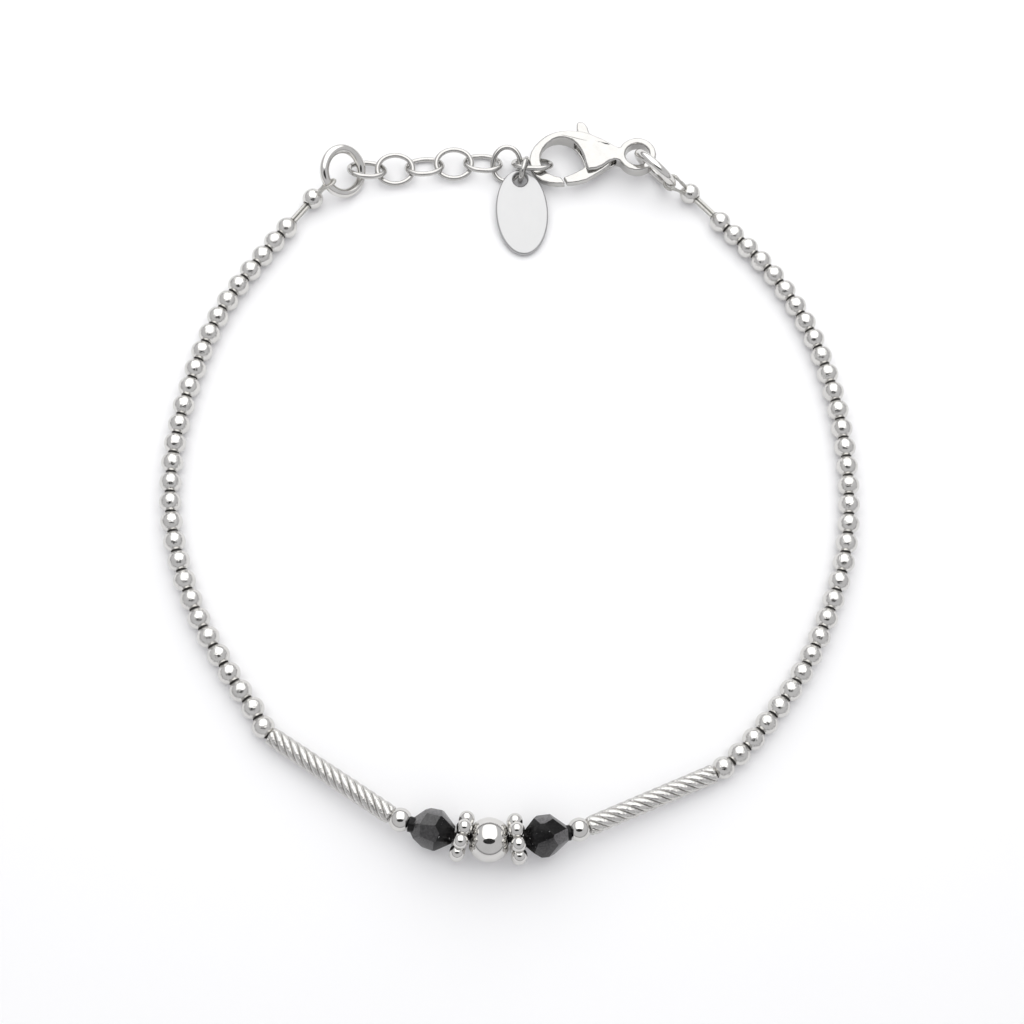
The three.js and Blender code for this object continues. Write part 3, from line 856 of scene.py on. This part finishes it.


# Facets ground on each crystal: angle round the thread from the top, positive towards the
# back, lean towards the right end, distance from the middle, and finish, which is painted light
# or shade for how brightly the facet mirrors the lights.
FACETS = {
    "left": [
        (-27, -7, 1.56, DIM_FACET), (24, -13, 1.66, DIM_FACET), (56, -6, 1.66, LIT_FACET),
        (14, 33, 1.66, SHADED_FACET), (-40, 42, 1.62, SHADED_FACET), (-36, -50, 1.66, DIM_FACET),
        (38, -48, 1.66, LIT_FACET), (-72, -10, 1.4, DIM_FACET), (-72, 30, 1.5, SHADED_FACET),
        (62, 36, 1.66, LIT_FACET),
    ],
    "right": [
        (-6, -20, 1.62, SHADED_FACET), (24, 22, 1.66, SHADED_FACET), (54, 0, 1.66, LIT_FACET),
        (-31, 36, 1.66, LIT_FACET), (-54, -4, 1.42, DIM_FACET), (-36, -48, 1.68, SHADED_FACET),
        (36, -46, 1.66, SHADED_FACET), (60, 40, 1.68, DIM_FACET), (-76, 30, 1.52, DIM_FACET),
    ],
}
UNDER_FACETS = [
    (around, lean, 1.68, finish)
    for around, finish in ((100, SHADED_FACET), (148, DIM_FACET), (-165, SHADED_FACET), (-116, DIM_FACET))
    for lean in (-40, 0, 38)
]
COLLAR_LENGTH = 0.3  # what shows of the collar
COLLAR_DEPTH = 0.8  # its whole length, most of it inside the stone
COLLAR_RADIUS = 0.68
CRYSTAL_BORE = 0.42
SAME_WAY = 0.995  # cosine above which a face is one of the ground facets


class BRACELET_OT_crystals(BraceletOperator):
    """Grinds the flat facets of the two dark crystals"""

    bl_idname = "bracelet.crystals"
    bl_label = "Dark Crystals"

    def execute(self, context):
        for side, facets in FACETS.items():
            crystal = self.ground(facets + UNDER_FACETS, OUTWARDS[side])
            crystal.data.transform(set_on_route(middle_of("crystal", side)))
            crystal.name = f"cut_crystal_{side}"
            finished(crystal, None, [f"crystal_{side}"])
        return {"FINISHED"}

    def ground(self, facets, outer):
        """A faceted stone with a short round collar at its outer end, -1 or 1 along +Y."""
        length = CRYSTAL_LENGTH - COLLAR_LENGTH
        middle = Vector((0, -outer * COLLAR_LENGTH / 2, 0))
        crystal = self.rod("crystal", self.sizes.crystal_radius, length, middle.y, 48)
        normals = []
        with Editing(crystal) as edit:
            for around, lean, reach, _ in facets:
                angle, tilt = math.radians(around), math.radians(lean)
                across = math.cos(tilt)
                normal = Vector(
                    (-math.sin(angle) * across, math.sin(tilt), math.cos(angle) * across)
                )
                normals.append(normal)
                bpy.ops.mesh.select_all(action="SELECT")
                bpy.ops.mesh.bisect(
                    plane_co=middle + normal * reach,
                    plane_no=normal,
                    use_fill=True,
                    clear_outer=True,
                )
            bpy.ops.mesh.select_all(action="SELECT")
            bpy.ops.mesh.dissolve_limited(angle_limit=math.radians(0.5))
        # Each ground facet is painted lit, dim or shaded; every other face takes the shaded copy.
        facet_paints = (SHADED_FACET, DIM_FACET, LIT_FACET)
        for tone in facet_paints:
            crystal.data.materials.append(finish_named(tone))
        for face in crystal.data.polygons:
            nearest = max(range(len(facets)), key=lambda place: normals[place].dot(face.normal))
            flat = normals[nearest].dot(face.normal) > SAME_WAY
            face.material_index = facet_paints.index(facets[nearest][3]) if flat else 0
        collar_middle = outer * (CRYSTAL_LENGTH - COLLAR_DEPTH) / 2
        collar = self.rod("collar", COLLAR_RADIUS, COLLAR_DEPTH, collar_middle, 48)
        bore = self.rod("bore", CRYSTAL_BORE, 1.2 * CRYSTAL_LENGTH, 0, 32)
        cut_with(crystal, collar, "UNION")
        cut_with(crystal, bore, "DIFFERENCE")
        rounded_edges(crystal, width=0.03, segments=2, degrees=10)
        apply_modifiers(crystal)
        discard(collar)
        discard(bore)
        with Editing(crystal) as edit:
            edit.outwards()
        return smoothed(crystal, 14)

    def rod(self, name, radius, length, middle, sides):
        deselect_all()
        bpy.ops.mesh.primitive_cylinder_add(
            vertices=sides,
            radius=radius,
            depth=length,
            location=(0, middle, 0),
            rotation=(math.pi / 2, 0, 0),
        )
        return added(name)


TUBE_END = 0.22  # length of the turned end, past which the ribs begin
TUBE_END_STEPS = ((0.12, 0.97), (0.07, 0.93), (0.03, 0.86), (0.0, 0.6))  # outwards, and shrink
POINTS_PER_RIB = 24
TWIST_STEPS = 120
RIB_DEPTH = 0.24
RIB_FULLNESS = 0.35  # under 1, ribs are broad and the grooves between them narrow


class BRACELET_OT_twisted_tubes(BraceletOperator):
    """Twists the two ribbed tube beads"""

    bl_idname = "bracelet.twisted_tubes"
    bl_label = "Twisted Tubes"

    def execute(self, context):
        for side, length in TUBE_LENGTH.items():
            tube = self.twisted(length)
            start = -TUBE_START - length if side == "left" else TUBE_START
            laid_on_chord(tube, start, length)
            tube.name = f"ribbed_tube_{side}"
            finished(tube, finish_named("tube_silver"), [f"twisted_tube_{side}"])
        return {"FINISHED"}

    def twisted(self, length):
        radius = self.sizes.tube_radius
        ribs = self.counts.ribs
        deselect_all()
        bpy.ops.mesh.primitive_circle_add(
            vertices=POINTS_PER_RIB * ribs,
            radius=radius,
            rotation=(math.pi / 2, 0, 0),
            location=(0, TUBE_END, 0),
        )
        tube = added("tube")
        for vertex in tube.data.vertices:
            around = math.atan2(vertex.co.x, vertex.co.z)
            swell = abs(math.cos(around * ribs / 2))
            reach = radius - RIB_DEPTH * (1 - swell**RIB_FULLNESS)
            vertex.co.x *= reach / radius
            vertex.co.z *= reach / radius
        twist = tube.modifiers.new("twist", "SCREW")
        twist.axis = "Y"
        twist.screw_offset = length - 2 * TUBE_END
        twist.angle = 2 * math.pi * (length - 2 * TUBE_END) / self.sizes.tube_lead
        twist.steps = twist.render_steps = TWIST_STEPS
        twist.use_merge_vertices = False
        apply_modifiers(tube)
        with Editing(tube) as edit:
            for way, end in ((-1, TUBE_END), (1, length - TUBE_END)):
                middle = (0, end, 0)
                edit.rims(lambda place: abs(place.y - end) < 1e-3)
                for step, shrink in TUBE_END_STEPS:
                    bpy.ops.mesh.extrude_region_move()
                    bpy.ops.transform.translate(value=(0, way * step, 0))
                    bpy.ops.transform.resize(value=(shrink, 1, shrink), center_override=middle)
            edit.rims()
            bpy.ops.mesh.bridge_edge_loops()
            edit.outwards()
        return smoothed(tube, 50)


INNER_THREAD_RADIUS = 0.24
INNER_THREAD_STEPS = 80


class BRACELET_OT_centre_thread(BraceletOperator):
    """Runs the thread through the middle pieces"""

    bl_idname = "bracelet.centre_thread"
    bl_label = "Centre Thread"

    def execute(self, context):
        start, end = (OUTWARDS[side] * (string_start(side) - 2 * GAP) for side in OUTWARDS)
        points = thread_points(start, end, INNER_THREAD_STEPS)
        thread = tube_along("inner_thread", points, INNER_THREAD_RADIUS * MM, sides=10)
        # The thread through the middle pieces is near black, painted shade for the gaps between
        # them.
        finished(thread, finish_named("bead_core"), ["centre_thread"])
        return {"FINISHED"}


TAG_RING_WIRE = 0.24


class BRACELET_OT_rings_and_links(BraceletOperator):
    """Bends the two heavy rings, the chain's links and the tag's ring"""

    bl_idname = "bracelet.rings_and_links"
    bl_label = "Rings and Links"

    def execute(self, context):
        wires = dict.fromkeys(RINGS, self.sizes.ring_wire)
        wires["tag_ring"] = TAG_RING_WIRE
        for name in LOOPS:
            wire = wires.get(name, self.sizes.link_wire)
            half_length, half_width = LOOPS[name][3:5]
            loop = wire_loop(f"wire_{name}", half_length, half_width, wire, loop_matrix(name))
            # The links take a darker copy of the rings' silver, painted shade.
            finish = finish_named("ring_silver" if name in RINGS else "link_silver")
            finished(loop, finish, [name])
        return {"FINISHED"}


STRAND_OFFSET = 0.19  # from the thread's middle to each of its two strands
LOOP_ROOT = 0.2  # half the width of a thread loop where it leaves the last bead
LOOP_CLEARANCE = 0.06  # between the loop and the ring in it
LOOP_REACH = 130  # how far the loop goes round the ring's wire, either way
LOOP_STEP = 26
COIL_DEPTH = 0.2  # share of its thickness by which the loop's coils are grooved


class BRACELET_OT_thread_ends(BraceletOperator):
    """Ties the thread to its rings, with the last bead of each side"""

    bl_idname = "bracelet.thread_ends"
    bl_label = "Thread Ends"

    def execute(self, context):
        bead = small_bead(self.sizes)
        for side, ring, distance in (
            ("left", "end_ring", route.start),
            ("right", "clasp_ring", route.end),
        ):
            last_bead = copy_of(bead, set_on_route(distance))
            strands = self.strands(side, ring, route.frame(distance))
            end = joined([last_bead, *strands], f"tied_end_{side}")
            finished(end, None, [f"thread_end_{side}"])
        discard(bead)
        return {"FINISHED"}

    def strands(self, side, ring, axes):
        """The loop of thread round a ring, and the two strands on to the string of beads."""
        centre = axes.translation
        grip = math.radians(THREAD_GRIP[ring])
        matrix = loop_matrix(ring)
        radius = LOOPS[ring][3]
        held = matrix @ Vector((radius * math.cos(grip), radius * math.sin(grip), 0))
        wire_way = (matrix.to_3x3() @ Vector((-math.sin(grip), math.cos(grip), 0))).normalized()
        across = wire_way.cross(held - centre).normalized()
        outwards = across.cross(wire_way).normalized()
        thickness = self.sizes.thread_radius
        loop_radius = self.sizes.ring_wire + thickness + LOOP_CLEARANCE
        anchors = [centre + LOOP_ROOT * across]
        for degrees in range(LOOP_REACH, -LOOP_REACH - 1, -LOOP_STEP):
            turn = math.radians(degrees)
            offset = across * math.sin(turn) + outwards * math.cos(turn)
            anchors.append(held + loop_radius * offset)
        anchors.append(centre - LOOP_ROOT * across)
        paths = [smooth_path(anchors)]
        string_length = BEAD_PITCH * STRING_BEADS[side]
        far = route.frame(OUTWARDS[side] * (string_start(side) + string_length + GAP))
        for sideways in (-STRAND_OFFSET, STRAND_OFFSET):
            offset = Vector((sideways, 0, 0))
            paths.append([axes @ offset, far @ offset])
        rods = []
        for path, coiled in zip(paths, (COIL_DEPTH, 0.0, 0.0)):
            points = [point * MM for point in path]
            rod = tube_along("strand", points, thickness * MM, 12, coiled)
            rod.data.materials.append(finish_named("thread"))
            rods.append(rod)
        return rods


TAG_HALF_WIDTH = 2.62
TAG_HALF_LENGTH = 4.55
TAG_HOLE_RADIUS = 0.7
TAG_HOLE_FROM_CENTRE = 3.45


class BRACELET_OT_oval_tag(BraceletOperator):
    """Stamps the blank oval tag"""

    bl_idname = "bracelet.oval_tag"
    bl_label = "Oval Tag"

    def execute(self, context):
        thickness = self.sizes.tag_thickness
        deselect_all()
        bpy.ops.mesh.primitive_cylinder_add(
            vertices=128, radius=1, depth=thickness, scale=(TAG_HALF_WIDTH, TAG_HALF_LENGTH, 1)
        )
        tag = added("stamped_tag")
        deselect_all()
        bpy.ops.mesh.primitive_cylinder_add(
            vertices=64,
            radius=TAG_HOLE_RADIUS,
            depth=2 * thickness,
            location=(0, TAG_HOLE_FROM_CENTRE, 0),
        )
        punch = added("punch")
        cut_with(tag, punch, "DIFFERENCE")
        rounded_edges(tag, width=0.2, segments=5, degrees=45)
        apply_modifiers(tag)
        discard(punch)
        tilt = math.radians(TAG_TILT)
        height = TAG_HALF_LENGTH * math.sin(tilt) + thickness / 2 * math.cos(tilt)
        place = Matrix.Translation(Vector((*TAG_PLACE, height)) + ORIGIN_SHIFT)
        tag.data.transform(Matrix.Scale(MM, 4) @ place @ turned(TAG_TILT, 0, TAG_YAW))
        with Editing(tag) as edit:
            edit.outwards()
        smoothed(tag, 40)
        finished(tag, finish_named("tag_silver"), ["oval_tag"])
        return {"FINISHED"}


CASTING_GRAIN = 0.06  # size of the cells in which the castings are skinned
CASTING_WEAR = 32  # rounds of smoothing that wear their edges


class BRACELET_OT_clasp(BraceletOperator):
    """Finishes the lobster clasp's body, lever and rivet with rounded edges"""

    bl_idname = "bracelet.clasp"
    bl_label = "Lobster Clasp"

    def execute(self, context):
        for node, name, body in (
            ("clasp_body", "cast_clasp", BODY),
            ("clasp_lever", "thumb_lever", LEVER_BODY),
            ("clasp_rivet", "hinge_rivet", BODY),
        ):
            casting = copy_of(frame["nodes"][node], Matrix.Identity(4))
            casting.parent = None
            casting.name = name
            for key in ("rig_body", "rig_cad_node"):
                if key in casting:
                    del casting[key]
            casting.data.materials.clear()
            with Editing(casting) as edit:
                edit.outwards()
            skin = casting.modifiers.new("skin", "REMESH")
            skin.mode = "VOXEL"
            skin.voxel_size = CASTING_GRAIN * MM
            wear = casting.modifiers.new("wear", "SMOOTH")
            wear.factor = 0.5
            wear.iterations = CASTING_WEAR
            apply_modifiers(casting)
            with Editing(casting) as edit:
                edit.outwards()
            only(casting)
            bpy.ops.object.shade_smooth()
            # The clasp takes a darker copy of the silver, painted shade for its walls.
            finished(casting, finish_named("clasp_silver"), [node], body)
        return {"FINISHED"}


# The studio is laid out in metres in the frame, apart from the camera's place.
TENT_LEVELS = ((0.07, 0.45), (0.2, 1.0))  # height up the tent, and share of its brightness
TENT_TINT = (0.98, 0.98, 1.0)
SOFTBOX_EDGES = ((0.0, -0.06, 0.24), (0.0, 0.36, 0.075))  # above the bracelet, and behind it
SOFTBOX_HALF_WIDTH = 0.178
SOFTBOX_CORNER = 0.15
SOFTBOX_FADE = (0.75, 0.35)  # share of the way out where it starts, and brightness at the edge
CAMERA_BODY_HALVES = (0.085, 0.036)
CAMERA_BODY_PLACE = (0, -0.016, 0.004)  # from the lens, in the camera's own axes
CAMERA_PLACE = (-8.569, -53.758, 142.21)
CAMERA_TURN = (19.135, -3.4, 0.0)


class BRACELET_OT_stage(BraceletOperator):
    """Lays the pale floor and sets the studio lights and the camera"""

    bl_idname = "bracelet.stage"
    bl_label = "Stage"

    def execute(self, context):
        self.floor()
        self.tent()
        self.softbox()
        self.camera_body()
        self.camera()
        context.scene.view_settings.view_transform = "Standard"
        return {"FINISHED"}

    def floor(self):
        deselect_all()
        bpy.ops.mesh.primitive_plane_add(size=6.0)
        floor = added("floor")
        finish = Finish("floor")
        finish.stain(tuple(bpy.context.scene.bracelet_finishes.floor), 0.985, 60.0, 2.0)
        finish.set(
            Roughness=0.6,
            Emission_Color=(0.93, 0.91, 1.0, 1),
            Emission_Strength=self.studio.floor_glow,
        )
        floor.data.materials.append(finish.material)

    def tent(self):
        world = bpy.data.worlds.new("light_tent")
        world.use_nodes = True
        tree = world.node_tree
        background = tree.nodes["Background"]
        place = tree.nodes.new("ShaderNodeTexCoord")
        split = tree.nodes.new("ShaderNodeSeparateXYZ")
        tree.links.new(place.outputs["Generated"], split.inputs["Vector"])
        height = tree.nodes.new("ShaderNodeValToRGB")
        height.color_ramp.interpolation = "EASE"
        for element, (level, share) in zip(height.color_ramp.elements, TENT_LEVELS):
            element.position = level
            element.color = (*shade(TENT_TINT, share), 1)
        tree.links.new(split.outputs["Z"], height.inputs["Fac"])
        tree.links.new(height.outputs["Color"], background.inputs["Color"])
        background.inputs["Strength"].default_value = self.studio.tent
        bpy.context.scene.world = world

    def softbox(self):
        """A glowing panel that leans over the back of the bracelet."""
        near, far = (Vector(edge) for edge in SOFTBOX_EDGES)
        deselect_all()
        bpy.ops.mesh.primitive_plane_add(size=2.0)
        panel = bpy.context.active_object
        panel.name = "softbox"
        half_length = (near - far).length / 2
        panel.data.transform(Matrix.Diagonal((SOFTBOX_HALF_WIDTH, half_length, 1, 1)))
        with Editing(panel) as edit:
            bpy.ops.mesh.select_all(action="SELECT")
            bpy.ops.mesh.bevel(offset=SOFTBOX_CORNER, segments=10, affect="VERTICES")
            bpy.ops.mesh.flip_normals()
        along = (near - far).normalized()
        across = Vector((1, 0, 0))
        turn = Matrix((across, along, across.cross(along))).transposed().to_4x4()
        panel.matrix_world = Matrix.Translation((near + far) / 2) @ turn
        finish = Finish("softbox_glow")
        tree = finish.tree
        tree.nodes.remove(finish.shader)
        glow = finish.node("ShaderNodeEmission")
        split = finish.node("ShaderNodeSeparateXYZ")
        finish.link(finish.place, split.inputs["Vector"])
        sideways = finish.node("ShaderNodeMath")
        sideways.operation = "ABSOLUTE"
        finish.link(split.outputs["X"], sideways.inputs[0])
        shares = (
            finish.ranged(sideways.outputs[0], 0.0, 1.0, 0.0, SOFTBOX_HALF_WIDTH),
            finish.ranged(split.outputs["Y"], 0.0, 1.0, 0.0, -half_length),
        )
        edge = finish.node("ShaderNodeMath")
        edge.operation = "MAXIMUM"
        for index, share in enumerate(shares):
            finish.link(share, edge.inputs[index])
        fade_from, edge_share = SOFTBOX_FADE
        bright = self.studio.softbox
        fade = finish.ranged(edge.outputs[0], bright, edge_share * bright, fade_from, 1.0)
        finish.link(fade, glow.inputs["Strength"])
        output = tree.nodes["Material Output"]
        finish.link(glow.outputs["Emission"], output.inputs["Surface"])
        panel.data.materials.append(finish.material)
        panel.visible_camera = False

    def camera_body(self):
        """The camera's own dark body, which polished metal mirrors."""
        deselect_all()
        bpy.ops.mesh.primitive_cylinder_add(vertices=64, radius=1, depth=0.002)
        body = added("camera_body")
        body.data.transform(Matrix.Diagonal((*CAMERA_BODY_HALVES, 1, 1)))
        body.data.transform(self.camera_matrix() @ Matrix.Translation(CAMERA_BODY_PLACE))
        finish = Finish("camera_black")
        finish.set(Base_Color=(0.02, 0.02, 0.02, 1), Roughness=0.9)
        body.data.materials.append(finish.material)
        body.visible_shadow = False
        body.visible_diffuse = False
        body.visible_camera = False

    def camera_matrix(self):
        return Matrix.Translation(Vector(CAMERA_PLACE) * MM) @ turned(*CAMERA_TURN)

    def camera(self):
        lens = bpy.data.cameras.new("camera")
        lens.lens = self.studio.lens
        lens.sensor_width = 36.0
        lens.clip_start, lens.clip_end = 0.005, 10.0
        camera = bpy.data.objects.new("camera", lens)
        bpy.context.scene.collection.objects.link(camera)
        camera.matrix_world = self.camera_matrix()
        bpy.context.scene.camera = camera


class BRACELET_PT_panel(bpy.types.Panel):
    """Sizes, finishes and the steps that make the bracelet"""

    bl_idname = "BRACELET_PT_panel"
    bl_label = "Beaded Bracelet"
    bl_space_type = "VIEW_3D"
    bl_region_type = "UI"
    bl_category = "Bracelet"

    def draw(self, context):
        for group in (getattr(context.scene, name) for name in GROUPS):
            box = self.layout.box()
            for name in group.bl_rna.properties.keys():
                if name not in ("rna_type", "name"):
                    box.prop(group, name)
        for operator in OPERATORS:
            self.layout.operator(operator.bl_idname)


OPERATORS = (
    BRACELET_OT_stage,
    BRACELET_OT_bead_strings,
    BRACELET_OT_centre_ball,
    BRACELET_OT_small_rounds,
    BRACELET_OT_spacers,
    BRACELET_OT_crystals,
    BRACELET_OT_twisted_tubes,
    BRACELET_OT_centre_thread,
    BRACELET_OT_rings_and_links,
    BRACELET_OT_thread_ends,
    BRACELET_OT_oval_tag,
    BRACELET_OT_clasp,
)
GROUPS = {
    "bracelet_sizes": BraceletSizes,
    "bracelet_counts": BraceletCounts,
    "bracelet_finishes": BraceletFinishes,
    "bracelet_studio": BraceletStudio,
}


def register():
    for name, group in GROUPS.items():
        bpy.utils.register_class(group)
        setattr(bpy.types.Scene, name, bpy.props.PointerProperty(type=group))
    for operator in OPERATORS:
        bpy.utils.register_class(operator)
    bpy.utils.register_class(BRACELET_PT_panel)


def unregister():
    bpy.utils.unregister_class(BRACELET_PT_panel)
    for operator in reversed(OPERATORS):
        bpy.utils.unregister_class(operator)
    for name, group in GROUPS.items():
        delattr(bpy.types.Scene, name)
        bpy.utils.unregister_class(group)


def main():
    register()
    bpy.ops.bracelet.stage()
    bpy.ops.bracelet.bead_strings()
    bpy.ops.bracelet.centre_ball()
    bpy.ops.bracelet.small_rounds()
    bpy.ops.bracelet.spacers()
    bpy.ops.bracelet.crystals()
    bpy.ops.bracelet.twisted_tubes()
    bpy.ops.bracelet.centre_thread()
    bpy.ops.bracelet.rings_and_links()
    bpy.ops.bracelet.thread_ends()
    bpy.ops.bracelet.oval_tag()
    bpy.ops.bracelet.clasp()


if __name__ == "__main__":
    main()
